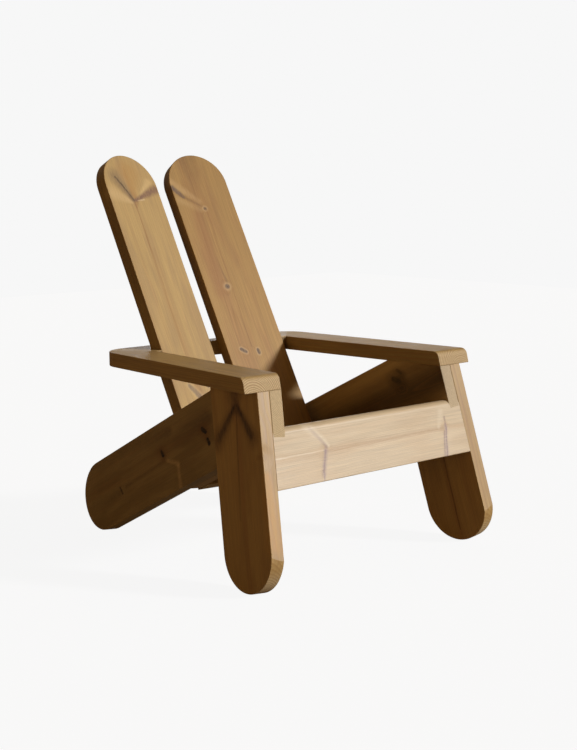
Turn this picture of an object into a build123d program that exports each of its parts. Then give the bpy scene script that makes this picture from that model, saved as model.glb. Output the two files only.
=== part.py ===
from build123d import *
from math import cos, radians, sin, tan
import os

# A low, reclined armchair built from wide boards with round ends.
# Millimetres, +Z up, +Y towards the back, +X towards the sitter's left.
# Pieces are placed from the left front leg's inner front edge, where it meets
# the arm. At the end the whole chair is moved so that its origin is on the
# floor, at the centre of its outline.

# --- timber ---
board_thickness = 38
wide_board = 192          # legs, side rails and back boards
arm_width = 114           # arms, and the rail that joins them behind the back
apron_height = 147
seat_thickness = 28
batten = 30               # ledger section, and the width of the seat cleats

# --- sides ---
arm_underside = 484.4     # height above the floor
leg_half_spacing = 318.2  # centre plane to the leg's inner front edge, under the arm
toe_in = 4.8              # the sides draw together towards the back
cant = 4.6                # and lean together towards the top
leg_lean = 13.8           # foot forward, in the plane of the side
side_rail_slope = 26.2
side_rail_drop = 110      # along the leg, arm to the side rail's lower corner
planed_off = 1            # from the front of each leg's blank

# --- back ---
back_recline = 28.7
back_turn = 6.9           # each board turns its outer edge forward
back_gap = 49.6           # between the boards' front inner edges
back_setback = 585        # leg front to the boards' front inner edges, at arm top
back_above_arm = 589      # along the board, arm top to the round end
back_below_arm = 402

# --- arms ---
arm_rail_setback = 673    # leg front to the rear edge of the arm rail
arm_corner_radius = 76
arm_front_radius = 19

# --- apron and seat ---
apron_below_arm = 229.4   # arm underside down to the apron's lower edge
apron_nose_radius = 17
seat_slope = 18
seat_board_count = 3
seat_gap = 6              # around and between the seat boards
seat_side_gap = 1.5
cleat_front = 85          # behind the apron, along the seat
cleat_rear = 395
lower_rail_below_arm = 279.4  # arm underside to the underside of the lower back rail
lower_rail_depth = 45     # behind the back boards, at the centre

# --- fits and edges ---
edge_radius = 2
seat_edge_radius = 3
notch_clearance = 0.3     # beside a back board, in the rail that it passes
hole_clearance = 0.1      # on the radius of dowels and screws
end_clearance = 1         # past each end of a dowel

# --- dowels ---
dowel_radius = 6
dowel_length = 50
slim_dowel_radius = 5
slim_dowel_length = 60
dowel_chamfer = 1
side_dowels_at = [(40, 35), (40, 88), (150, 20), (150, 100)]   # across the leg, down from the arm
arm_dowels_at = [60, 130]          # behind the leg front
mitre_dowels_at = [0.36, 0.6]      # parts of the mitre, from its inner corner
apron_dowels_at = [30, 80]         # above the apron's lower edge
lower_rail_dowels_at = [18, 50]    # in front of the rail's rear edge

# --- screws ---
screw_radius = 2.5
long_screw_radius = 3
screw_head = 2            # the head's radius, in shank radii
screw_head_height = 3
screw_sink = 0.5          # head below the surface
screw_point = 5
drive_width = 1.2         # cross recess
drive_length = 5.4
drive_depth = 1.8
seat_screw_length = 38
batten_screw_length = 55
back_screw_length = 65
long_screw_length = 85
ledger_seat_screws_at = [70, 210]  # from the middle
ledger_screws_at = [140, 240]
seat_screw_inset = 11              # from a seat board's front edge, over the ledger
seat_screw_spread = 70             # between the two screws at a board's end
front_end_screw_at = 108           # behind the apron
cleat_screws_at = [150, 270, 380]  # along the side rail's lower edge
back_screws_at = [48, 144]         # across a back board
back_screw_rise = 7                # above the lower rail's middle, at the board's rear face

reach = 2000              # longer than any piece, for trimming
spare = 150               # waste that is trimmed off


def turned(angle):
    """Unit vector in a drawing plane, at an angle above its x axis."""
    return Vector(cos(radians(angle)), sin(radians(angle)))


def under(plane):
    """Everything behind a plane."""
    return plane * Pos(0, 0, -reach / 2) * Box(2 * reach, 2 * reach, reach)


def over(plane):
    """Everything in front of a plane."""
    return plane * Pos(0, 0, reach / 2) * Box(2 * reach, 2 * reach, reach)


def other_side(shape):
    return mirror(shape, about=Plane.YZ)


def polygon(*points):
    return make_face(Polyline(*[(p.X, p.Y) for p in points], close=True))


def round_ended(start, along, across, straight, width=wide_board):
    """Board outline: square at the start, and half round at the far end."""
    far = start + along * straight
    body = polygon(start, far, far + across * width, start + across * width)
    centre = far + across * width / 2
    return body + Pos(centre.X, centre.Y) * Circle(width / 2)


def eased(outline, thickness, radius=edge_radius, trim=None):
    """A board cut from an outline, with the rims of both its faces eased."""
    blank = extrude(outline, amount=thickness)
    if trim is not None:
        blank &= under(trim)
    layers = blank.edges().group_by(Axis.Z)
    return fillet(layers[0] + layers[-1], radius)


# ------------------------------------------------------------------ the sides
outward_level = Vector(*turned(toe_in))
rearward = Vector(-outward_level.Y, outward_level.X, 0)
outward = outward_level * cos(radians(cant)) + Vector(0, 0, sin(radians(cant)))
corner = Vector(leg_half_spacing, 0, arm_underside)
side = Plane(corner, x_dir=rearward, z_dir=outward)       # drawn x back, y up
side_inner = side.offset(-board_thickness)                # inner face of the side rail
under_arms = under(Plane((0, 0, arm_underside)))
half_round = wide_board / 2
leg_floor = -arm_underside / cos(radians(cant))           # floor, at the leg's inner face
rail_floor = leg_floor + board_thickness * tan(radians(cant))

leg_down = turned(-90 - leg_lean)
leg_across = turned(-leg_lean)

# The legs, the side rails, the arms and the apron are planed flush to one plane at the front.
leg_edge = side.from_local_coords(leg_down) - corner
front_up = Vector(0, -leg_edge.Y, -leg_edge.Z).normalized()
front_out = Vector(0, -front_up.Z, front_up.Y)
front = Plane(corner, x_dir=(1, 0, 0), z_dir=front_out)
across_leg = side.from_local_coords(leg_across) - corner
front_waste = planed_off + board_thickness * front_out.dot(outward) / front_out.dot(across_leg)
leg_width = wide_board + front_waste
half_leg = leg_width / 2
leg_end = -(leg_floor + half_leg + (half_leg - front_waste) * sin(radians(leg_lean)))
leg_end /= cos(radians(leg_lean))
leg_outline = round_ended(leg_down * -spare - leg_across * front_waste, leg_down, leg_across,
                          leg_end + spare, leg_width)
front_leg = eased(leg_outline, board_thickness, trim=Plane(side.location.inverse() * front.location))
front_leg = side * front_leg & under_arms

rail_down = turned(-side_rail_slope)
rail_up = turned(90 - side_rail_slope)
rail_corner = leg_down * side_rail_drop                   # its lower front corner
rail_end = (rail_corner.Y + half_round * (rail_up.Y - 1) - rail_floor) / -rail_down.Y
rail_outline = round_ended(rail_corner - rail_down * spare, rail_down, rail_up, rail_end + spare)
side_rail = eased(rail_outline, board_thickness,
                  trim=Plane(side_inner.location.inverse() * front.location))
side_rail = side_inner * side_rail & under_arms

# ------------------------------------------------------------------ the back
arm_top = arm_underside + board_thickness
straight_rear = Vector(0, cos(radians(back_recline)), -sin(radians(back_recline)))
board_across = Vector(1, 0, 0) * cos(radians(back_turn)) - straight_rear * sin(radians(back_turn))
board_rear = Vector(1, 0, 0) * sin(radians(back_turn)) + straight_rear * cos(radians(back_turn))
back = Plane((back_gap / 2, back_setback, arm_top), x_dir=board_across, z_dir=-board_rear)
back_outline = round_ended(Vector(0, -back_below_arm), Vector(0, 1), Vector(1, 0),
                           back_below_arm + back_above_arm - half_round)
back_board = back.offset(-board_thickness) * eased(back_outline, board_thickness)

board_room = Box(reach, 2 * reach, reach, align=(Align.MAX, Align.CENTER, Align.MIN))
board_room = back * Pos(wide_board + notch_clearance, 0, -board_thickness) * board_room
left_half = over(Plane.YZ)
board_room &= left_half
board_room += other_side(board_room)

# ------------------------------------------------------------------ arms and arm rail
inner_front = corner - outward_level * board_thickness / cos(radians(cant))
outer_front = inner_front + outward_level * arm_width


def along_arm(start, setback):
    return start + rearward * ((setback - start.Y) / rearward.Y)


def symmetric(*points):
    """Level outline from its corners on the left, in order."""
    across = [Vector(-p.X, p.Y) for p in reversed(points)]
    return polygon(*points, *across)


outer_rear = along_arm(outer_front, arm_rail_setback)
inner_rear = along_arm(inner_front, arm_rail_setback - arm_width)
outer_outline = symmetric(outer_front - rearward * spare, outer_rear)
outer_outline = fillet(outer_outline.vertices().group_by(Axis.Y)[-1], arm_corner_radius)
inner_outline = symmetric(inner_front - rearward * spare, inner_rear)
arm_frame = Pos(0, 0, arm_underside) * extrude(outer_outline - inner_outline, amount=board_thickness)
arm_frame &= under(front)
at_front = arm_frame.faces().sort_by(Axis.Y)[:2].edges()
arm_frame = fillet(at_front.group_by(Axis.Z)[-1], arm_front_radius)


def on_rim(edge):
    """Edges of the arms' sides and undersides, but not those where the round front begins and ends."""
    if edge.center().Y < 2 * arm_front_radius:
        return abs(edge.tangent_at(0.5).X) < 0.9 or edge.center().Z < arm_underside + 1
    return abs(edge.tangent_at(0.5).Z) < 0.01


arm_frame = fillet(arm_frame.edges().filter_by(on_rim), edge_radius)

mitre_run = outer_rear - inner_rear
mitre = Plane(inner_rear, x_dir=mitre_run, z_dir=Vector(-mitre_run.Y, mitre_run.X, 0))
behind_mitres = over(mitre) & other_side(over(mitre))
arm = arm_frame & under(mitre) & left_half
arm_rail = arm_frame & behind_mitres
arm_rail -= board_room

# ------------------------------------------------------------------ the apron
apron_drop = -apron_below_arm / leg_edge.Z                # along the leg, arm to the apron's foot
apron_base = corner + leg_edge * apron_drop
apron = Plane((0, apron_base.Y, apron_base.Z), x_dir=(1, 0, 0), z_dir=front_out)
full_width = 2 * leg_half_spacing + 2 * spare

apron_board = Box(full_width, apron_height, board_thickness,
                  align=(Align.CENTER, Align.MIN, Align.MAX))
long_edges = apron_board.edges().filter_by(Axis.X)
nose = long_edges.filter_by(lambda edge: edge.center().Z > -1 and edge.center().Y > 1)
apron_board = fillet(nose, apron_nose_radius)
long_edges = apron_board.edges().filter_by(Axis.X)
square = long_edges.filter_by(lambda edge: edge.center().Z < 1 - board_thickness or edge.center().Y < 1)
apron_board = fillet(square, edge_radius)
between_legs = under(side) & other_side(under(side))
front_apron = (apron * apron_board & between_legs) - side_rail - other_side(side_rail)

# ------------------------------------------------------------------ the seat
seat_start = apron.from_local_coords(Vector(0, apron_height, -board_thickness))
seat_normal = Vector(0, sin(radians(seat_slope)), cos(radians(seat_slope)))
seat = Plane(seat_start, x_dir=(1, 0, 0), z_dir=seat_normal)   # y to the rear
seat_underside = seat.offset(-seat_thickness)


def board_meets(plane, across, out=0):
    """Where a line up the back board meets a plane, in the plane's coordinates."""
    start = plane.to_local_coords(back.from_local_coords(Vector(across, 0, out)))
    step = plane.to_local_coords(back.from_local_coords(Vector(across, 1, out))) - start
    return start - step * (start.Z / step.Z)


seat_length = board_meets(seat_underside, wide_board).Y - 2 * seat_gap
seat_pitch = (seat_length + seat_gap) / seat_board_count
seat_board = Box(full_width, seat_pitch - seat_gap, seat_thickness,
                 align=(Align.CENTER, Align.MIN, Align.MAX))
seat_board = fillet(seat_board.edges().filter_by(Axis.X), seat_edge_radius)
beside_rail = under(side_inner.offset(-seat_side_gap))
between_rails = beside_rail & other_side(beside_rail)
seat_boards = [seat * Pos(0, seat_gap + n * seat_pitch, 0) * seat_board & between_rails
               for n in range(seat_board_count)]

ledger = Box(full_width, apron_height, batten, align=(Align.CENTER, Align.MAX, Align.MAX))
ledger = apron * Pos(0, apron_height, -board_thickness) * ledger
seat_ledger = ledger & under(seat_underside) & over(seat_underside.offset(-batten)) & between_rails

cleat_face = side_inner.offset(-batten)
cleat_outline = polygon(rail_corner, rail_corner + rail_down * reach / 2,
                        rail_corner + rail_down * reach / 2 + rail_up * wide_board,
                        rail_corner + rail_up * wide_board)
cleat_span = Box(reach, cleat_rear - cleat_front, reach,
                 align=(Align.CENTER, Align.MIN, Align.CENTER))
seat_cleat = cleat_face * extrude(cleat_outline, amount=batten) & under(seat_underside)
seat_cleat &= seat * Pos(0, cleat_front, 0) * cleat_span

# ------------------------------------------------------------------ the lower back rail
rail_level = Plane((0, 0, arm_underside - lower_rail_below_arm))
rail_middle = rail_level.offset(board_thickness / 2)
lower_rail_front = board_meets(rail_level, wide_board, -board_thickness).Y
lower_rail_rear = board_meets(rail_middle, 0, -board_thickness).Y + lower_rail_depth
lower_rail_outline = symmetric(Vector(leg_half_spacing, lower_rail_front),
                               Vector(leg_half_spacing, lower_rail_rear))
lower_back_rail = rail_level * eased(lower_rail_outline, board_thickness)
lower_back_rail = (lower_back_rail & under(side_inner) & other_side(under(side_inner))) - board_room


# ------------------------------------------------------------------ fasteners
def dowel(radius, length):
    rod = Cylinder(radius, length)
    return chamfer(rod.edges(), dowel_chamfer)


def dowel_hole(radius, length):
    return Cylinder(radius + hole_clearance, length + 2 * end_clearance)


def screw_profile(*points):
    return revolve(Plane.XZ * polygon(*[Vector(*point) for point in points]), axis=Axis.Z)


def screw(radius, length):
    """A countersunk screw: its head is at the origin, and its point is down."""
    head = radius * screw_head
    shoulder = -screw_sink - screw_head_height
    body = screw_profile((0, -screw_sink), (head, -screw_sink), (radius, shoulder),
                         (radius, screw_point - length), (radius / 5, -length), (0, -length))
    slot = Pos(0, 0, -screw_sink) * Box(drive_length, drive_width, 2 * drive_depth)
    return body - slot - Rot(0, 0, 90) * slot


def screw_hole(radius, length):
    head = radius * screw_head + hole_clearance
    shank = radius + hole_clearance
    shoulder = -screw_sink - screw_head_height
    return screw_profile((0, end_clearance), (head, end_clearance), (head, -screw_sink),
                         (shank, shoulder), (shank, -length - end_clearance),
                         (0, -length - end_clearance))


def both_sides(shapes):
    return shapes + [other_side(shape) for shape in shapes]


def drilled(piece, cutter, places):
    return piece - [place * cutter for place in places]


def drilled_both(piece, cutter, places):
    return piece - both_sides([place * cutter for place in places])


long_dowel = dowel(dowel_radius, dowel_length)
slim_dowel = dowel(slim_dowel_radius, slim_dowel_length)
long_dowel_hole = dowel_hole(dowel_radius, dowel_length)
slim_dowel_hole = dowel_hole(slim_dowel_radius, slim_dowel_length)
half_board = board_thickness / 2

side_places = [side * Pos(leg_across * across + leg_down * down) for across, down in side_dowels_at]
arm_places = [Pos(corner + rearward * along + outward_level * across)
              for along in arm_dowels_at
              for across in (half_board, -half_board)]
mitre_places = [mitre * Pos(mitre_run.length * part, -half_board) for part in mitre_dowels_at]
apron_places = [side * Pos(leg_down * (apron_drop - up) + leg_across * half_board)
                for up in apron_dowels_at]
lower_up = (rail_middle.origin.Z - side_inner.origin.Z) / side_inner.y_dir.Z
lower_rear = lower_rail_rear - side_inner.origin.Y - lower_up * side_inner.y_dir.Y
lower_rail_places = [side_inner * Pos((lower_rear - ahead) / rearward.Y, lower_up)
                     for ahead in lower_rail_dowels_at]

seat_screw = screw(screw_radius, seat_screw_length)
batten_screw = screw(screw_radius, batten_screw_length)
back_screw = screw(screw_radius, back_screw_length)
long_screw = screw(long_screw_radius, long_screw_length)
seat_screw_hole = screw_hole(screw_radius, seat_screw_length)
batten_screw_hole = screw_hole(screw_radius, batten_screw_length)
back_screw_hole = screw_hole(screw_radius, back_screw_length)
long_screw_hole = screw_hole(long_screw_radius, long_screw_length)


def over_cleat(along):
    """Place on the seat above the middle of the cleat's thickness."""
    start = cleat_face.offset(batten / 2)
    level = seat * Pos(0, along, -seat_thickness)
    point = Plane(level).origin
    return seat * Pos((start.origin - point).dot(start.z_dir) / start.z_dir.X, along)


def cleat_height(along):
    """From the side rail's lower edge up to the seat, at a distance along the edge."""
    edge = seat_underside.to_local_coords(side_inner.from_local_coords(rail_corner + rail_down * along))
    return -edge.Z


end_screws_at = [front_end_screw_at]
for n in range(1, seat_board_count):
    board_middle = (n + 0.5) * seat_pitch + seat_gap / 2
    end_screws_at += [board_middle - seat_screw_spread / 2, board_middle + seat_screw_spread / 2]
end_places = [over_cleat(along) for along in end_screws_at]
ledger_seat_places = [seat * Pos(across, seat_gap + seat_screw_inset) for across in ledger_seat_screws_at]
cleat_places = [Plane(cleat_face.from_local_coords(rail_corner + rail_down * along
                                                   + rail_up * cleat_height(along) / 2),
                      x_dir=rearward, z_dir=-outward).location
                for along in cleat_screws_at]
ledger_middle = apron_height - seat_thickness - batten / 2
ledger_places = [Plane(apron.from_local_coords(Vector(across, ledger_middle, -board_thickness - batten)),
                       x_dir=(1, 0, 0), z_dir=-front_out).location
                 for across in ledger_screws_at]
back_height = rail_middle.offset(back_screw_rise)
back_places = []
for across in back_screws_at:
    entry = back_height.from_local_coords(board_meets(back_height, across, -board_thickness))
    back_places += [back * Pos(across, back.to_local_coords(entry).Y)]
long_places = [Plane((back_gap / 2 + across, outer_rear.Y, arm_underside + half_board),
                     x_dir=(1, 0, 0), z_dir=(0, 1, 0)).location
               for across in back_screws_at]

front_leg = drilled(front_leg, long_dowel_hole, side_places + arm_places)
front_leg = drilled(front_leg, slim_dowel_hole, apron_places)
side_rail = drilled(side_rail, long_dowel_hole, side_places + arm_places)
side_rail = drilled(side_rail, slim_dowel_hole, lower_rail_places)
side_rail = drilled(side_rail, batten_screw_hole, cleat_places)
arm = drilled(arm, long_dowel_hole, arm_places)
arm = drilled(arm, slim_dowel_hole, mitre_places)
seat_cleat = drilled(seat_cleat, seat_screw_hole, end_places)
seat_cleat = drilled(seat_cleat, batten_screw_hole, cleat_places)
back_board = drilled(back_board, back_screw_hole, back_places)
back_board = drilled(back_board, long_screw_hole, long_places)

arm_rail = drilled_both(arm_rail, slim_dowel_hole, mitre_places)
arm_rail = drilled_both(arm_rail, long_screw_hole, long_places)
front_apron = drilled_both(front_apron, slim_dowel_hole, apron_places)
front_apron = drilled_both(front_apron, batten_screw_hole, ledger_places)
seat_ledger = drilled_both(seat_ledger, batten_screw_hole, ledger_places)
seat_ledger = drilled_both(seat_ledger, seat_screw_hole, ledger_seat_places)
lower_back_rail = drilled_both(lower_back_rail, slim_dowel_hole, lower_rail_places)
lower_back_rail = drilled_both(lower_back_rail, back_screw_hole, back_places)
seat_boards = [drilled_both(board, seat_screw_hole, end_places + ledger_seat_places)
               for board in seat_boards]

# ------------------------------------------------------------------ the chair
pieces = {
    "front_apron": front_apron,
    "seat_board_front": seat_boards[0],
    "seat_board_middle": seat_boards[1],
    "seat_board_rear": seat_boards[2],
    "seat_ledger": seat_ledger,
    "arm_rail": arm_rail,
    "lower_back_rail": lower_back_rail,
}
paired = {
    "front_leg": front_leg,
    "side_rail": side_rail,
    "arm": arm,
    "back_board": back_board,
    "seat_cleat": seat_cleat,
}
for name, piece in paired.items():
    pieces[name + "_left"] = piece
    pieces[name + "_right"] = other_side(piece)

fasteners = {
    "side_dowels": (long_dowel, side_places),
    "arm_dowels": (long_dowel, arm_places),
    "mitre_dowels": (slim_dowel, mitre_places),
    "apron_dowels": (slim_dowel, apron_places),
    "lower_rail_dowels": (slim_dowel, lower_rail_places),
    "seat_screws": (seat_screw, end_places + ledger_seat_places),
    "cleat_screws": (batten_screw, cleat_places),
    "ledger_screws": (batten_screw, ledger_places),
    "lower_back_screws": (back_screw, back_places),
    "arm_rail_screws": (long_screw, long_places),
}
for name, (fastener, places) in fasteners.items():
    pieces[name] = Compound(both_sides([place * fastener for place in places]))

outline = Compound(list(pieces.values())).bounding_box()
to_origin = Pos(0, -outline.center().Y, -outline.min.Z)
os.makedirs("parts", exist_ok=True)
for name, piece in pieces.items():
    export_step(to_origin * piece, os.path.join("parts", name + ".step"))
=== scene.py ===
import math
import bpy
from mathutils import Matrix, Vector

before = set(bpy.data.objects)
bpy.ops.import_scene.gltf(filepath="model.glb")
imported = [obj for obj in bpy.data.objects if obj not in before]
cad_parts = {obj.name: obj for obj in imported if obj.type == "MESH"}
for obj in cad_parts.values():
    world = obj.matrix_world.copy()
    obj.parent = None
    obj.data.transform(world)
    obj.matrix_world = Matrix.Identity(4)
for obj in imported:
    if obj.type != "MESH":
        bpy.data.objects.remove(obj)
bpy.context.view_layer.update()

# A low armchair of wide pine boards with round ends. The boards are the fixed frame's own pieces.
# Here they get their timber: every board has its own pith, growth rings, knots and tone.

scene = bpy.context.scene


def toLinear(hexText):
    # an sRGB hex colour as the linear values that the nodes take
    parts = [int(hexText[start:start + 2], 16) / 255 for start in (1, 3, 5)]
    linear = [part / 12.92 if part <= 0.04045 else ((part + 0.055) / 1.055) ** 2.4 for part in parts]
    return (*linear, 1.0)


def add(tree, kind, inputs=(), **settings):
    # One node with its settings and its inputs, which are given by name, or in order for the sockets in use.
    # An input is a value, another node's socket, or another node, which stands for its first output in use.
    node = tree.nodes.new("ShaderNode" + kind)
    for key, value in settings.items():
        setattr(node, key, value)
    sockets = [socket for socket in node.inputs if socket.enabled]
    if isinstance(inputs, dict):
        sockets = [next(socket for socket in sockets if socket.name == key) for key in inputs]
        inputs = inputs.values()
    for socket, value in zip(sockets, inputs):
        if isinstance(value, bpy.types.Node):
            value = next(output for output in value.outputs if output.enabled)
        if isinstance(value, bpy.types.NodeSocket):
            tree.links.new(value, socket)
        else:
            socket.default_value = value
    return node


def newMaterial(name):
    material = bpy.data.materials.new(name)
    material.use_nodes = True
    material.node_tree.nodes.clear()
    return material, material.node_tree


def dress(name, material):
    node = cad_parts[name]
    node.data.materials.clear()
    node.data.materials.append(material)


def mainDirection(faces, square=None):
    # the direction that most of the surface faces, or most of what is square to another direction
    areas = {}
    for face in faces:
        normal = face.normal.copy()
        if square is not None and abs(normal.dot(square)) > 0.02:
            continue
        if max(normal, key=abs) < 0:
            normal.negate()
        group = tuple(round(part, 2) for part in normal)
        total = areas.get(group, Vector((0, 0, 0)))
        areas[group] = total + normal * face.area
    return max(areas.values(), key=lambda total: total.length).normalized()


def boardPlace(name):
    # a board's own axes, along, across and out of its face, with its middle and its length in millimetres
    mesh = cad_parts[name].data
    out = mainDirection(mesh.polygons)
    across = mainDirection(mesh.polygons, out)
    across = (across - out * across.dot(out)).normalized()
    along = across.cross(out)
    if max(along, key=abs) < 0:
        along.negate()
    out = along.cross(across)
    axes = Matrix((along, across, out))
    corners = [axes @ vertex.co for vertex in mesh.vertices]
    low = Vector([min(corner[i] for corner in corners) for i in range(3)])
    high = Vector([max(corner[i] for corner in corners) for i in range(3)])
    middle = axes.transposed() @ ((low + high) / 2)
    return axes, middle, (high.x - low.x) * 1000


# What all the pine shares, with lengths in millimetres. A board's own entries override these.
pine = {
    "early": "#C0A066",       # the pale wood of spring
    "late": "#94693A",        # the dense brown line that ends each year
    "lateShare": 0.42,        # how strongly that line shows
    "heartAndShade": "#A37A4C",       # redder wood round the pith; on the left side rail, drawn very dark as painted shade
    "heartAndShadeReach": 24,         # how far it goes
    "heartAndShadeShare": 0.55,
    "zone": "#A98C60",        # broad greyer areas, where the oil went in less
    "zoneShare": 0.5,
    "zoneSize": (230, 40),    # along the board and across it
    "streak": "#A57A50",      # long smears of resin
    "streakShare": 0.2,
    "streakSize": (700, 17),
    "ring": 3.6,              # one year's growth, fast grown
    "taper": 0.012,           # the trunk narrows, so the rings run out in long arches
    "pith": (4, -26),         # across the board, and out from its middle
    "sway": 9,                # how far the pith wanders to each side
    "swaySize": (520, 120),
    "bend": (60, 26, 26),     # broad waves in the grey areas
    "bendSize": (140, 60),
    "ripple": 6,              # small waves in the outlines of knots
    "rippleSize": (60, 22),
    "fibreSize": (70, 0.9),   # bundles of fibres, drawn wider than real ones so that they show
    "bandSize": (260, 5),     # several bundles together
    "mottleSize": (14, 3.5),  # specks inside a knot
    "paintedLightAlong": (1.0, 1.0),  # painted light and shade along the board: how light it is drawn at its two ends
    "paintedSideShade": 1.0,          # painted shade on its narrow sides: how much darker they are drawn than its faces
    "paintedEndSheen": "#D3BC92",     # painted sheen on end grain: a pale tint in place of the sheen its rougher surface no longer shows
    "paintedEndSheenShare": 0.8,
    "endRings": 1.7,          # how much more its rings show
    "endRoughness": 0.28,     # how much rougher it is, because its pores are open
    "rimSheenAndWear": "#CBB184",         # rounded edges: a painted highlight along them, and oil taken off by hands and sanding
    "rimSheenAndWearShare": 0.15,
    "knotCore": "#2B1C12",    # the dark pith of a knot
    "paleRound": "#D2B684",   # pale wood round a knot
    "roughness": 0.43,
    "relief": 0.0004,         # metres
    "seed": 1,
    "knots": [],
}
# what a knot or a smear has when its own entry doesn't say
plainKnot = {
    "wide": (4, 6),           # half its width at the start and at the end
    "tint": "#5A4638",
    "share": 0.75,
    "edge": 0.3,              # how soft its outline is
    "halo": 0.0,              # how pale the wood round it is
    "push": 5,                # how far the rings bend round it
    "core": 0.0,              # how dark its own pith is
    "fade": 1.0,              # how much of its colour is left at its end
}


def grain(tree, look, along, size, detail=2.0):
    # smooth noise, drawn out to this length and width, and no two boards read the same part of it
    scale = (1 / size[0], 1 / size[1], 1 / size[1])
    seed = (look["seed"] * 7.31, look["seed"] * 3.17, look["seed"] * 5.53)
    scaled = add(tree, "VectorMath", [along, scale, seed], operation="MULTIPLY_ADD")
    return add(tree, "TexNoise", {"Vector": scaled, "Scale": 1.0, "Detail": detail})


# In what follows, a MapRange node takes a value, its low and its high end, and what those two become.


def swayingTrunk(tree, look, local):
    # the board's millimetres, bent as the trunk's axis wanders
    wander = grain(tree, look, local, look["swaySize"], 1.0).outputs["Color"]
    sway = add(tree, "VectorMath", [wander, (0.5, 0.5, 0.5)], operation="SUBTRACT")
    return add(tree, "VectorMath", [sway, (0, 2 * look["sway"], 2 * look["sway"]), local],
               operation="MULTIPLY_ADD")


def branch(tree, knot, rippled, ripple):
    # A knot is a branch that runs from one point to another. This gives the distance from its axis, counted
    # in its half widths, and how strong its colour is there.
    start = Vector(knot["start"])
    run = Vector(knot["end"]) - start
    # the noise in the ripple is about a half on average
    origin = start + Vector((ripple / 2,) * 3)
    offset = add(tree, "VectorMath", [rippled, origin], operation="SUBTRACT")
    reached = add(tree, "VectorMath", [offset, run.normalized()], operation="DOT_PRODUCT")
    part = add(tree, "MapRange", [reached, 0, run.length, 0, 1])
    onAxis = add(tree, "VectorMath", [run, part], operation="SCALE")
    away = add(tree, "VectorMath", [offset, onAxis], operation="DISTANCE")
    wide = add(tree, "MapRange", [part, 0, 1, *knot["wide"]])
    ratio = add(tree, "Math", [away, wide], operation="DIVIDE")
    share = add(tree, "MapRange", [part, 0, 1, knot["share"], knot["share"] * knot["fade"]])
    return ratio, share


def growthRings(tree, look, local, swayed):
    # how far each point is from the pith, and the knots, round which the rings close
    fromPith = add(tree, "VectorMath", [swayed, (0, *look["pith"])], operation="SUBTRACT")
    squareToPith = add(tree, "VectorMath", [fromPith, (0, 1, 1)], operation="MULTIPLY")
    radius = add(tree, "VectorMath", [squareToPith], operation="LENGTH")
    lengthwise = add(tree, "SeparateXYZ", [local]).outputs["X"]
    rings = add(tree, "Math", [lengthwise, look["taper"], radius], operation="MULTIPLY_ADD")
    waves = grain(tree, look, local, look["rippleSize"], 3.0).outputs["Color"]
    rippled = add(tree, "VectorMath", [waves, (look["ripple"],) * 3, local], operation="MULTIPLY_ADD")
    marks = []
    for entry in look["knots"]:
        knot = {**plainKnot, **entry}
        ratio, share = branch(tree, knot, rippled, look["ripple"])
        near = add(tree, "MapRange", [ratio, 1, 5, 1, 0], interpolation_type="SMOOTHERSTEP")
        rings = add(tree, "Math", [near, -knot["push"], rings], operation="MULTIPLY_ADD")
        marks.append((knot, ratio, share))
    return rings, marks


def yearLines(tree, look, rings):
    # years differ in width, and each ends in a dark line that grows slowly and stops short
    yearPlace = add(tree, "Math", [rings, 9 * look["ring"]], operation="DIVIDE")
    years = add(tree, "TexNoise", {"W": yearPlace, "Scale": 1.0, "Detail": 1.0}, noise_dimensions="1D")
    uneven = add(tree, "Math", [years.outputs["Fac"], 3 * look["ring"], rings], operation="MULTIPLY_ADD")
    counted = add(tree, "Math", [uneven, look["ring"]], operation="DIVIDE")
    season = add(tree, "Math", [counted], operation="FRACT")
    growing = add(tree, "Math", [season, 2.2], operation="POWER")
    stopping = add(tree, "MapRange", [season, 0.88, 1, 1, 0])
    return add(tree, "Math", [growing, stopping], operation="MULTIPLY")


def surfaces(tree, look, axes, normal):
    # Where the board shows end grain, which gets a painted sheen, how much painted shade darkens its narrow
    # sides, and where its rims are, which get a painted highlight and wear. The end grain is square to the
    # board's length, and a rim lies between two faces.
    endFacing = add(tree, "VectorMath", [normal, axes[0]], operation="DOT_PRODUCT")
    endAmount = add(tree, "Math", [endFacing], operation="ABSOLUTE")
    endGrain = add(tree, "MapRange", [endAmount, 0.4, 0.9, 0, 1], interpolation_type="SMOOTHSTEP")
    facing = add(tree, "VectorMath", [normal, axes[2]], operation="DOT_PRODUCT")
    faceAmount = add(tree, "Math", [facing], operation="ABSOLUTE")
    paintedSideShade = add(tree, "MapRange", [faceAmount, 0.15, 0.6, look["paintedSideShade"], 1],
                   interpolation_type="SMOOTHSTEP")
    between = add(tree, "Math", [facing, 0.5], operation="PINGPONG")
    rimSheenAndWear = add(tree, "MapRange", [between, 0.1, 0.4, 0, 1], interpolation_type="SMOOTHSTEP")
    return endGrain, paintedSideShade, rimSheenAndWear


def knotColours(tree, look, local, marks, colour):
    # each knot's pale surround, the mark itself and its dark pith, over the timber's colour
    mottle = add(tree, "MapRange", [grain(tree, look, local, look["mottleSize"], 3.0), 0.3, 0.7, 0.6, 1.2])
    for knot, ratio, share in marks:
        if knot["halo"]:
            pale = add(tree, "MapRange", [ratio, 1, 2.4, knot["halo"], 0], interpolation_type="SMOOTHSTEP")
            colour = add(tree, "Mix", [pale, colour, toLinear(look["paleRound"])], data_type="RGBA")
        within = add(tree, "MapRange", [ratio, 1 - knot["edge"], 1 + knot["edge"], 1, 0],
                     interpolation_type="SMOOTHSTEP")
        patchy = add(tree, "Math", [mottle, share], operation="MULTIPLY")
        marked = add(tree, "Math", [within, patchy], operation="MULTIPLY")
        colour = add(tree, "Mix", [marked, colour, toLinear(knot["tint"])], data_type="RGBA")
        if knot["core"]:
            core = add(tree, "MapRange", [ratio, 0.1, 0.55, knot["core"], 0],
                       interpolation_type="SMOOTHSTEP")
            colour = add(tree, "Mix", [core, colour, toLinear(look["knotCore"])], data_type="RGBA")
    return colour


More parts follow.
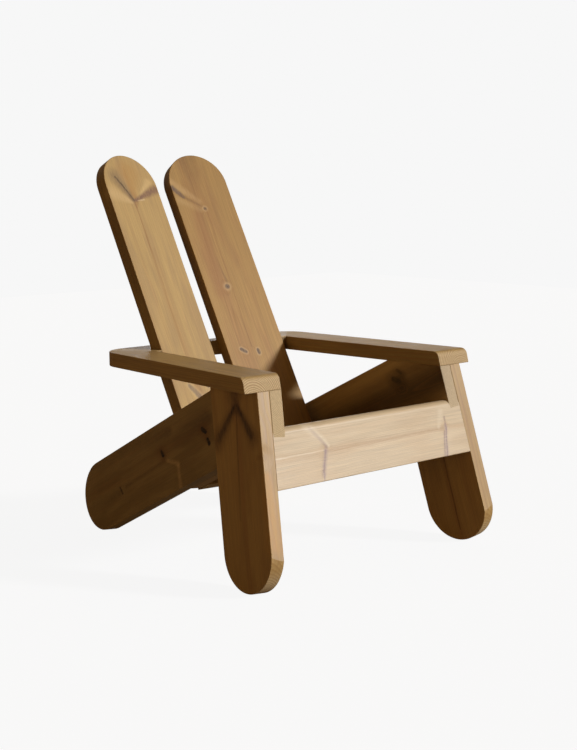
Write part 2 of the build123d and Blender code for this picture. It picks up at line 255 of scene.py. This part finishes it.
def oiledPine(name, own):
    # Oiled pine, planed, sanded and rounded over: a satin, slightly open surface with rings and streaks.
    look = {**pine, **own}
    axes, middle, length = boardPlace(name)
    material, tree = newMaterial("oiledPine_" + name)
    place = add(tree, "TexCoord")
    # millimetres from the board's middle: X along it, Y across it and Z out of its face
    local = add(tree, "Mapping", {"Vector": place.outputs["Object"], "Location": middle,
                                  "Rotation": axes.transposed().to_euler(), "Scale": (0.001, 0.001, 0.001)},
                vector_type="TEXTURE")
    swayed = swayingTrunk(tree, look, local)
    rings, marks = growthRings(tree, look, local, swayed)
    line = yearLines(tree, look, rings)
    fibre = grain(tree, look, local, look["fibreSize"])
    endGrain, paintedSideShade, rimSheenAndWear = surfaces(tree, look, axes, place.outputs["Normal"])

    # grey areas, smears of resin and heartwood, one over the other; on the left side rail the heartwood is
    # painted shade
    waves = grain(tree, look, local, look["bendSize"]).outputs["Color"]
    bent = add(tree, "VectorMath", [waves, look["bend"], swayed], operation="MULTIPLY_ADD")
    zones = add(tree, "MapRange", [grain(tree, look, bent, look["zoneSize"], 3.0), 0.42, 0.64, 0, 1],
                interpolation_type="SMOOTHSTEP")
    zoneShare = add(tree, "MapRange", [endGrain, 0, 1, look["zoneShare"], 0.2 * look["zoneShare"]])
    zones = add(tree, "Math", [zoneShare, zones], operation="MULTIPLY")
    colour = add(tree, "Mix", [zones, toLinear(look["early"]), toLinear(look["zone"])], data_type="RGBA")
    smears = grain(tree, look, swayed, look["streakSize"])
    streaks = add(tree, "MapRange", [smears, 0.5, 0.75, 0, look["streakShare"]],
                  interpolation_type="SMOOTHSTEP")
    colour = add(tree, "Mix", [streaks, colour, toLinear(look["streak"])], data_type="RGBA")
    heartAndShade = add(tree, "MapRange", [rings, 2, look["heartAndShadeReach"], look["heartAndShadeShare"], 0],
                interpolation_type="SMOOTHSTEP")
    colour = add(tree, "Mix", [heartAndShade, colour, toLinear(look["heartAndShade"])], data_type="RGBA")
    # painted shade: the narrow sides are drawn darker, in place of the shade they lie in
    colour = add(tree, "VectorMath", [colour, paintedSideShade], operation="SCALE")
    # cut across, the wood gets a painted sheen, a pale tint in place of the light it would reflect, and its
    # rings stand out more
    paintedEndSheenShare = add(tree, "Math", [endGrain, look["paintedEndSheenShare"]], operation="MULTIPLY")
    colour = add(tree, "Mix", [paintedEndSheenShare, colour, toLinear(look["paintedEndSheen"])], data_type="RGBA")
    ringShare = add(tree, "MapRange", [endGrain, 0, 1, 1, look["endRings"]])
    lateShare = add(tree, "Math", [ringShare, look["lateShare"]], operation="MULTIPLY")
    lateAmount = add(tree, "Math", [line, lateShare], operation="MULTIPLY")
    colour = add(tree, "Mix", [lateAmount, colour, toLinear(look["late"])], data_type="RGBA")
    # fibres and bands shade it, and painted light and shade make it lighter or darker along its length
    bands = grain(tree, look, swayed, look["bandSize"])
    lengthwise = add(tree, "SeparateXYZ", [local]).outputs["X"]
    fibreTone = add(tree, "MapRange", [fibre, 0.3, 0.7, 0.88, 1.08])
    bandTone = add(tree, "MapRange", [bands, 0.32, 0.68, 0.93, 1.05])
    paintedLengthLight = add(tree, "MapRange", [lengthwise, -length / 2, length / 2, *look["paintedLightAlong"]])
    for tone in (fibreTone, bandTone, paintedLengthLight):
        colour = add(tree, "VectorMath", [colour, tone], operation="SCALE")
    colour = knotColours(tree, look, local, marks, colour)
    # the rounded rims get a pale tint: partly a painted highlight, partly oil worn off
    sheenAndWear = add(tree, "Math", [rimSheenAndWear, look["rimSheenAndWearShare"]], operation="MULTIPLY")
    colour = add(tree, "Mix", [sheenAndWear, colour, toLinear(look["rimSheenAndWear"])], data_type="RGBA")

    # the dense lines stand a little proud after sanding and wear smoother, and so do the rims
    rough = add(tree, "MapRange", [line, 0, 1, look["roughness"] + 0.05, look["roughness"] - 0.07])
    rough = add(tree, "Math", [rimSheenAndWear, -0.05, rough], operation="MULTIPLY_ADD")
    rough = add(tree, "Math", [endGrain, look["endRoughness"], rough], operation="MULTIPLY_ADD")
    height = add(tree, "Math", [fibre, 0.6, line], operation="MULTIPLY_ADD")
    bump = add(tree, "Bump", {"Strength": 0.35, "Distance": look["relief"], "Height": height})
    shader = add(tree, "BsdfPrincipled",
                 {"Base Color": colour, "Roughness": rough, "Normal": bump, "IOR": 1.5})
    add(tree, "OutputMaterial", {"Surface": shader})
    dress(name, material)


# the back board on the sitter's right: two branches make a Y near the top, and the pith runs down from it
backBoardRight = {
    # painted light and shade: lighter at its foot and darker towards the top, and darker narrow sides
    "seed": 3, "pith": (-9, -23), "heartAndShadeReach": 12, "zone": "#A88A60", "paintedLightAlong": (1.05, 0.95),
    "paintedSideShade": 0.6,
    "knots": [
        # the warm wood between the branches, and the pale fans beside them
        {"start": (362, -4, -19), "end": (440, 4, -19), "wide": (6, 34), "tint": "#B0803F", "share": 0.45,
         "edge": 0.8, "push": 0},
        {"start": (345, -20, -19), "end": (372, -78, -19), "wide": (5, 20), "tint": "#D0B07C", "share": 0.6,
         "edge": 0.8, "push": 0},
        {"start": (372, 22, -19), "end": (412, 66, -19), "wide": (4, 11), "tint": "#D3B37B", "share": 0.65,
         "edge": 0.8, "push": 0},
        {"start": (352, -12, -19), "end": (426, -56, -19), "wide": (6, 20), "tint": "#7B6448", "share": 0.9,
         "edge": 0.9, "fade": 0.7},
        {"start": (351, -9, -19), "end": (424, -53, -19), "wide": (1.6, 2.6), "tint": "#4E3A26", "share": 0.8,
         "edge": 0.9},
        {"start": (353, -4, -19), "end": (390, 84, -19), "wide": (5, 12), "tint": "#7C5A48", "share": 0.9,
         "edge": 0.8},
        {"start": (352, 4, -19), "end": (356, 30, -19), "wide": (1.5, 2.5), "tint": "#D0B488", "share": 0.8,
         "edge": 0.7},
        {"start": (345, -9, -19), "end": (60, -8, -19), "wide": (2.4, 2.4), "tint": "#855A30", "share": 0.6,
         "edge": 0.9, "push": 0, "fade": 0.2},
        {"start": (200, 2, -19), "end": (-140, 6, -19), "wide": (3, 8), "tint": "#A07A4E", "share": 0.35,
         "edge": 0.9, "push": 0},
        {"start": (-214, -38, -19), "end": (-248, -14, -19), "wide": (7, 9), "tint": "#7A6656", "share": 0.75,
         "edge": 0.6, "halo": 0.4},
        {"start": (-218, 31, 10), "end": (-218, 31, -22), "wide": (5, 7), "tint": "#6A5444", "halo": 0.4},
    ],
}
oiledPine("back_board_right", backBoardRight)

# the back board on the sitter's left: redder, with a long smear and four small knots
backBoardLeft = {
    "seed": 5, "pith": (-30, -48), "early": "#B99253", "heartAndShadeReach": 50, "heartAndShade": "#A2733C",
    # painted light and shade: lighter at its foot and darker towards the top, and darker narrow sides
    "zone": "#AA7C4A", "paintedLightAlong": (1.1, 0.88), "paintedSideShade": 0.6, "paleRound": "#C9A877",
    "knots": [
        # dark bands run up to the top, and pale wood lies above and below the smear
        {"start": (505, -26, -19), "end": (372, -14, -19), "wide": (22, 10), "tint": "#76542E", "share": 0.5,
         "edge": 0.9, "push": 0, "fade": 0},
        {"start": (505, 10, -19), "end": (385, 8, -19), "wide": (9, 5), "tint": "#7C562C", "share": 0.45,
         "edge": 0.9, "push": 0, "fade": 0},
        {"start": (300, -40, -19), "end": (60, -50, -19), "wide": (16, 20), "tint": "#A06E40", "share": 0.4,
         "edge": 0.9, "push": 0},
        {"start": (412, -92, -19), "end": (345, -18, -19), "wide": (11, 7), "tint": "#C6A26C", "share": 0.75,
         "edge": 0.9, "push": 0, "fade": 0.5},
        {"start": (358, -92, -19), "end": (318, -24, -19), "wide": (10, 8), "tint": "#BE9C66", "share": 0.6,
         "edge": 0.9, "push": 0, "fade": 0.5},
        {"start": (396, -93, -19), "end": (362, -66, -19), "wide": (8, 5), "tint": "#62504A", "share": 0.85,
         "edge": 0.6},
        {"start": (370, -76, -19), "end": (326, -12, -19), "wide": (5, 2.5), "tint": "#80603C", "share": 0.65,
         "edge": 0.9, "fade": 0.5},
        {"start": (322, -7, 15), "end": (320, -7, -24), "wide": (4, 6), "tint": "#6A5038", "core": 0.7,
         "halo": 0.5},
        {"start": (316, -4, -19), "end": (-120, -14, -19), "wide": (3, 2), "tint": "#8E6236", "share": 0.4,
         "edge": 0.9, "push": 0},
        {"start": (84, -20, -19), "end": (170, -30, -19), "wide": (4, 3), "tint": "#7E5C38", "share": 0.55,
         "edge": 0.9, "push": 0, "fade": 0},
        {"start": (70, -24, 15), "end": (70, -24, -24), "wide": (6, 8), "tint": "#6E5A48", "share": 0.9,
         "core": 0.5, "halo": 0.5},
        {"start": (-124, -50, -19), "end": (-134, -38, -19), "wide": (5, 5), "tint": "#6A5546", "share": 0.85,
         "core": 0.3, "halo": 0.55},
        {"start": (-133, 3, -19), "end": (-143, 3, -19), "wide": (5, 5), "tint": "#6A5546", "share": 0.85,
         "core": 0.4, "halo": 0.55},
    ],
}
oiledPine("back_board_left", backBoardLeft)

# the apron: the palest board, drawn paler partly for its own tone and partly as painted sheen on its front,
# with two whorls of thin purple branches
apron = {
    "seed": 8, "pith": (0, 22), "early": "#D3BE9C", "late": "#B8966C", "heartAndShade": "#C4A67E",
    "streak": "#C6AE92", "zone": "#CBB08A", "heartAndShadeReach": 16, "lateShare": 0.24,
    "knots": [
        {"start": (-160, 12, 19), "end": (-222, 70, 19), "wide": (5, 13), "tint": "#E2D2B6", "share": 0.7,
         "edge": 0.8, "push": 0},
        {"start": (-350, 0, 19), "end": (-176, 1, 19), "wide": (1.8, 1.5), "tint": "#E6D8BE", "share": 0.75,
         "edge": 0.9, "push": 0, "fade": 0.5},
        {"start": (-166, -2, 19), "end": (250, 0, 19), "wide": (3.5, 4.5), "tint": "#AE8C64", "share": 0.45,
         "edge": 0.9, "push": 0},
        {"start": (-168, 10, 19), "end": (-212, 60, 19), "wide": (4, 5), "tint": "#93766C", "share": 0.6,
         "edge": 0.9, "fade": 0.4},
        {"start": (-170, 4, 19), "end": (-190, -58, 19), "wide": (6, 6), "tint": "#93797A", "share": 0.6,
         "edge": 0.9},
        {"start": (-172, 0, 19), "end": (-188, -50, 19), "wide": (2.5, 3), "tint": "#84696C", "share": 0.6,
         "edge": 0.8},
        {"start": (-188, -56, 19), "end": (-193, -80, 19), "wide": (2.5, 2), "tint": "#93797A", "share": 0.6,
         "edge": 0.7},
        {"start": (262, 30, 19), "end": (262, 0, 19), "wide": (3, 3), "tint": "#93786E", "share": 0.7,
         "edge": 0.8},
        {"start": (262, 6, 19), "end": (246, -76, 19), "wide": (6, 8), "tint": "#A08888", "share": 0.5,
         "edge": 0.9},
        {"start": (264, 2, 19), "end": (250, -76, 19), "wide": (2.2, 2.5), "tint": "#84696C", "share": 0.6,
         "edge": 0.8},
        {"start": (256, -6, 19), "end": (240, -76, 19), "wide": (1.5, 2), "tint": "#84696C", "share": 0.5,
         "edge": 0.8},
        {"start": (235, 6, 19), "end": (252, 44, 19), "wide": (5, 9), "tint": "#E0CFB2", "share": 0.5,
         "edge": 0.9, "push": 0},
    ],
}
oiledPine("front_apron", apron)

# the side rail on the sitter's right
sideRailRight = {
    "seed": 11, "pith": (20, -40), "early": "#9F885A", "heartAndShadeReach": 36, "heartAndShade": "#80582F",
    "zone": "#7A6238",
    "knots": [
        {"start": (-170, 17, -19), "end": (-182, 6, -19), "wide": (7, 7), "tint": "#5E4020", "share": 0.7,
         "edge": 0.9, "push": 9},
        {"start": (-170, 17, -19), "end": (-182, 6, -19), "wide": (6, 6), "tint": "#120A05", "share": 1.0},
        {"start": (-184, -15, -19), "end": (-188, -28, -19), "wide": (7, 6), "tint": "#5E4020", "share": 0.7,
         "edge": 0.9, "push": 9},
        {"start": (-184, -15, -19), "end": (-188, -28, -19), "wide": (5, 6), "tint": "#120A05", "share": 1.0},
        {"start": (36, 22, -19), "end": (28, 8, -19), "wide": (8, 9), "tint": "#5E4020", "share": 0.7,
         "edge": 0.9, "push": 12},
        {"start": (34, 20, -19), "end": (30, 10, -19), "wide": (5, 6), "tint": "#120A05", "share": 1.0},
        # a pale fold of grain below the middle knot
        {"start": (20, -6, -19), "end": (-32, -34, -19), "wide": (4, 6), "tint": "#C8A878", "share": 0.6,
         "edge": 0.9, "push": 0},
        {"start": (-32, -34, -19), "end": (-22, -92, -19), "wide": (6, 7), "tint": "#C8A878", "share": 0.6,
         "edge": 0.9, "push": 0},
        {"start": (274, -8, -19), "end": (266, -26, -19), "wide": (3.5, 4), "tint": "#3A2614", "share": 0.8,
         "push": 9},
        {"start": (-200, 40, -19), "end": (-60, 30, -19), "wide": (18, 26), "tint": "#4E3820", "share": 0.55,
         "edge": 0.9, "push": 0, "fade": 0.3},
        {"start": (-20, 60, -19), "end": (160, 72, -19), "wide": (12, 18), "tint": "#5A4020", "share": 0.55,
         "edge": 0.9, "push": 0, "fade": 0.3},
        {"start": (20, -6, -19), "end": (240, -14, -19), "wide": (5, 5), "tint": "#6A4A24", "share": 0.55,
         "edge": 0.9, "push": 0},
        {"start": (280, -20, -19), "end": (420, -30, -19), "wide": (10, 26), "tint": "#5A4222", "share": 0.5,
         "edge": 0.9, "push": 0, "fade": 0.4},
    ],
}
oiledPine("side_rail_right", sideRailRight)

# the front leg on the sitter's right: a whorl high up, and the pith below it
frontLegRight = {
    "seed": 13, "pith": (-4, 24), "early": "#BB9A60", "zone": "#A58250", "heartAndShadeReach": 14,
    "ring": 4.6, "lateShare": 0.6,
    "knots": [
        {"start": (214, -4, 19), "end": (180, -7, 19), "wide": (26, 12), "tint": "#58402A", "share": 0.7,
         "edge": 0.9},
        {"start": (190, -4, 19), "end": (110, 84, 19), "wide": (9, 22), "tint": "#6A4C2C", "share": 0.7,
         "edge": 0.9},
        {"start": (190, -2, 19), "end": (118, 74, 19), "wide": (4, 9), "tint": "#38261A", "share": 0.85,
         "edge": 0.9, "fade": 0.6},
        {"start": (190, -9, 19), "end": (106, -64, 19), "wide": (8, 20), "tint": "#6A4C2C", "share": 0.7,
         "edge": 0.9},
        {"start": (190, -12, 19), "end": (112, -58, 19), "wide": (4, 9), "tint": "#38261A", "share": 0.8,
         "edge": 0.9, "fade": 0.8},
        {"start": (176, -6, 19), "end": (-84, 14, 19), "wide": (3, 3), "tint": "#5E4022", "share": 0.6,
         "edge": 0.9, "push": 0, "fade": 0.4},
        # on the front edge, rings round a buried knot, and a warmer stretch below it
        {"start": (58, -74, 17), "end": (58, -100, 17), "wide": (5, 8), "tint": "#8E6A3C", "share": 0.35,
         "edge": 0.9, "push": 44},
        {"start": (10, -97, 8), "end": (-150, -97, 0), "wide": (10, 22), "tint": "#C68F42", "share": 0.55,
         "edge": 0.9, "push": 0, "fade": 0.8},
    ],
}
oiledPine("front_leg_right", frontLegRight)

frontLegLeft = {
    "seed": 17, "pith": (1, 23), "early": "#BB9A60", "zone": "#A58250", "heartAndShadeReach": 14,
    "ring": 4.6, "lateShare": 0.6,
    "knots": [
        {"start": (40, 0, 19), "end": (-230, 2, 19), "wide": (2.5, 2), "tint": "#5E4022", "share": 0.6,
         "edge": 0.9, "push": 0},
    ],
}
oiledPine("front_leg_left", frontLegLeft)

# the side rail on the sitter's left: its inner face lies in shade, painted in as a very dark heart across the
# board and a darker end; its end grain gets the painted sheen
sideRailLeft = {
    "seed": 19, "pith": (-10, -45), "early": "#C2A26C", "heartAndShadeReach": 84, "heartAndShade": "#3C220F",
    "heartAndShadeShare": 1.0, "zone": "#A8895A", "zoneShare": 0.6, "paintedEndSheen": "#E8D4B0", "paintedLightAlong": (0.82, 1.0),
    "knots": [
        {"start": (-306, 42, -19), "end": (-320, 30, -19), "wide": (8, 9), "tint": "#20130A", "share": 0.7,
         "edge": 0.6, "push": 14},
        {"start": (-330, 58, -19), "end": (-338, 48, -19), "wide": (5, 5), "tint": "#20130A", "share": 0.55,
         "edge": 0.5, "push": 10},
    ],
}
oiledPine("side_rail_left", sideRailLeft)

# the arms and the rail between them: their narrow sides are drawn darker as painted shade, most on the far
# arm and the rail
armRight = {"seed": 23, "pith": (-30, 40), "ring": 4.6, "lateShare": 0.75, "roughness": 0.5, "paintedSideShade": 0.8}
oiledPine("arm_right", armRight)
armLeft = {"seed": 29, "pith": (24, 46), "ring": 4.6, "lateShare": 0.75, "roughness": 0.5, "paintedSideShade": 0.6}
oiledPine("arm_left", armLeft)
armRail = {"seed": 31, "pith": (-20, 44), "paintedSideShade": 0.5}
oiledPine("arm_rail", armRail)

# the boards and battens under the sitter, cut from the same timber
hidden = {
    "seat_board_front": {"seed": 37, "pith": (10, 30)},
    "seat_board_middle": {"seed": 41, "pith": (-22, -34)},
    "seat_board_rear": {"seed": 43, "pith": (30, 26)},
    "seat_ledger": {"seed": 47, "pith": (22, 30), "heartAndShadeReach": 10},
    "seat_cleat_right": {"seed": 53, "pith": (26, 28), "heartAndShadeReach": 10},
    "seat_cleat_left": {"seed": 59, "pith": (-26, 28), "heartAndShadeReach": 10},
    "lower_back_rail": {"seed": 61, "pith": (18, -36)},
}
for name, look in hidden.items():
    oiledPine(name, look)
print("timber done")


def turnedBeech():
    # Beech dowels, turned and left plain: pale and close grained, with brown flecks about 1 mm long.
    material, tree = newMaterial("turnedBeech")
    place = add(tree, "TexCoord")
    flecks = add(tree, "TexNoise", {"Vector": place.outputs["Object"], "Scale": 900.0, "Detail": 2.0})
    share = add(tree, "MapRange", {"Value": flecks, "From Min": 0.5, "From Max": 0.7})
    colour = add(tree, "Mix", {"Factor": share, "A": toLinear("#D9B98C"), "B": toLinear("#B48A5C")},
                 data_type="RGBA")
    bump = add(tree, "Bump", {"Strength": 0.2, "Distance": 0.0002, "Height": flecks})
    shader = add(tree, "BsdfPrincipled", {"Base Color": colour, "Roughness": 0.6, "Normal": bump, "IOR": 1.5})
    add(tree, "OutputMaterial", {"Surface": shader})
    return material


def zincPlatedSteel():
    # Zinc plated steel screws, tumbled: grey metal with a faint blue, softly worn in patches of about 2 mm.
    material, tree = newMaterial("zincPlatedSteel")
    place = add(tree, "TexCoord")
    wear = add(tree, "TexNoise", {"Vector": place.outputs["Object"], "Scale": 450.0, "Detail": 3.0})
    colour = add(tree, "Mix", {"Factor": wear, "A": toLinear("#B9BCBE"), "B": toLinear("#8F9294")},
                 data_type="RGBA")
    rough = add(tree, "MapRange", {"Value": wear, "To Min": 0.28, "To Max": 0.5})
    shader = add(tree, "BsdfPrincipled", {"Base Color": colour, "Roughness": rough, "Metallic": 1.0})
    add(tree, "OutputMaterial", {"Surface": shader})
    return material


beech = turnedBeech()
steel = zincPlatedSteel()
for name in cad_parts:
    if name.endswith("dowels"):
        dress(name, beech)
    if name.endswith("screws"):
        dress(name, steel)
print("fasteners done")

# the studio: a pale floor and surroundings, one low lamp at the front right, and a weaker one behind
studio = {
    "pale": "#F7F7F7",                  # what the camera sees round the chair
    "floorGrey": 0.08,                  # how much lamp light the floor sends back, and so its shadows' depth
    "floorGlow": 0.905,                 # its own paleness, for the camera only
    "floorBounce": (0.07, 0.04, 0.016),  # what it sends up to the chair
    "floorSize": 14,
    "around": (0.035, 0.024, 0.014),    # the dim room
    "keyHeading": (-0.545, 0.838),      # where the main light travels, seen from above
    "keyHeight": 19.5,                  # degrees above level
    "keyStrength": 0.9,
    "keySoftness": 7,
    "rearHeading": (-0.66, -0.74),
    "rearHeight": 10,
    "rearStrength": 0.055,
    "rearSoftness": 20,
}
# broad glows in the room: where each is, its light, and how near to its middle it starts and is full
glows = [
    # the bright front of the room, above the camera's right
    {"middle": (0.66, -0.58, 0.48), "light": (0.38, 0.27, 0.17), "start": 0.65, "full": 0.97},
    # a little light at the back
    {"middle": (0.5, 0.8, 0.3), "light": (0.26, 0.2, 0.14), "start": 0.4, "full": 0.95},
    # the warm wall on the camera's left, which reaches the shaded sides
    {"middle": (-0.95, -0.31, 0), "light": (1.0, 0.6, 0.24), "start": 0.8, "full": 0.98},
]


def addLamp(name, heading, height, strength, softness):
    lamp = bpy.data.lights.new(name, "SUN")
    lamp.energy = strength * math.pi
    lamp.angle = math.radians(softness)
    holder = bpy.data.objects.new(name, lamp)
    scene.collection.objects.link(holder)
    flat = Vector(heading).normalized() * math.cos(math.radians(height))
    travel = Vector((flat.x, flat.y, -math.sin(math.radians(height))))
    holder.rotation_euler = travel.to_track_quat("-Z", "Y").to_euler()


for lamp in ("key", "rear"):
    addLamp(lamp + "Lamp", studio[lamp + "Heading"], studio[lamp + "Height"], studio[lamp + "Strength"],
            studio[lamp + "Softness"])

world = bpy.data.worlds.new("studioAir")
scene.world = world
world.use_nodes = True
air = world.node_tree
air.nodes.clear()
seen = add(air, "LightPath").outputs["Is Camera Ray"]
toward = add(air, "TexCoord").outputs["Generated"]
room = (*studio["around"], 1.0)
for glow in glows:
    nearness = add(air, "VectorMath", [toward, Vector(glow["middle"]).normalized()], operation="DOT_PRODUCT")
    share = add(air, "MapRange", {"Value": nearness, "From Min": glow["start"], "From Max": glow["full"]},
                interpolation_type="SMOOTHSTEP")
    room = add(air, "Mix", [share, room, (*glow["light"], 1.0)], data_type="RGBA")
airColour = add(air, "Mix", [seen, room, toLinear(studio["pale"])], data_type="RGBA")
background = add(air, "Background", {"Color": airColour, "Strength": 1.0})
add(air, "OutputWorld", {"Surface": background})

bpy.ops.object.select_all(action="DESELECT")
bpy.ops.mesh.primitive_plane_add(size=studio["floorSize"], location=(0, 0, 0))
floor = bpy.context.object
floor.name = "studioFloor"
floorPaint, tree = newMaterial("paleFloorPaint")
seen = add(tree, "LightPath").outputs["Is Camera Ray"]
matt = add(tree, "BsdfDiffuse", {"Color": (studio["floorGrey"],) * 3 + (1.0,)})
glowColour = add(tree, "Mix", [seen, (*studio["floorBounce"], 1.0), (studio["floorGlow"],) * 3 + (1.0,)],
                 data_type="RGBA")
floorGlow = add(tree, "Emission", {"Color": glowColour, "Strength": 1.0})
both = add(tree, "AddShader", [matt, floorGlow])
add(tree, "OutputMaterial", {"Surface": both})
floor.data.materials.append(floorPaint)
print("studio done")

# the camera, on the sitter's right and a little above the arms
view = {
    "place": (-2.5274, -2.9460, 1.01295),
    "heading": -41.72,                  # degrees, to the right of straight ahead
    "tilt": -8.28,
    "roll": -0.49,
    "lens": 69.19,                      # millimetres, for a sensor 36 mm wide
    "sensor": 36,
}
cameraData = bpy.data.cameras.new("studioCamera")
cameraData.lens = view["lens"]
cameraData.sensor_width = view["sensor"]
camera = bpy.data.objects.new("studioCamera", cameraData)
scene.collection.objects.link(camera)
camera.matrix_world = (Matrix.Translation(view["place"])
                       @ Matrix.Rotation(math.radians(view["heading"]), 4, "Z")
                       @ Matrix.Rotation(math.radians(90 + view["tilt"]), 4, "X")
                       @ Matrix.Rotation(math.radians(view["roll"]), 4, "Z"))
scene.camera = camera
scene.view_settings.view_transform = "Standard"
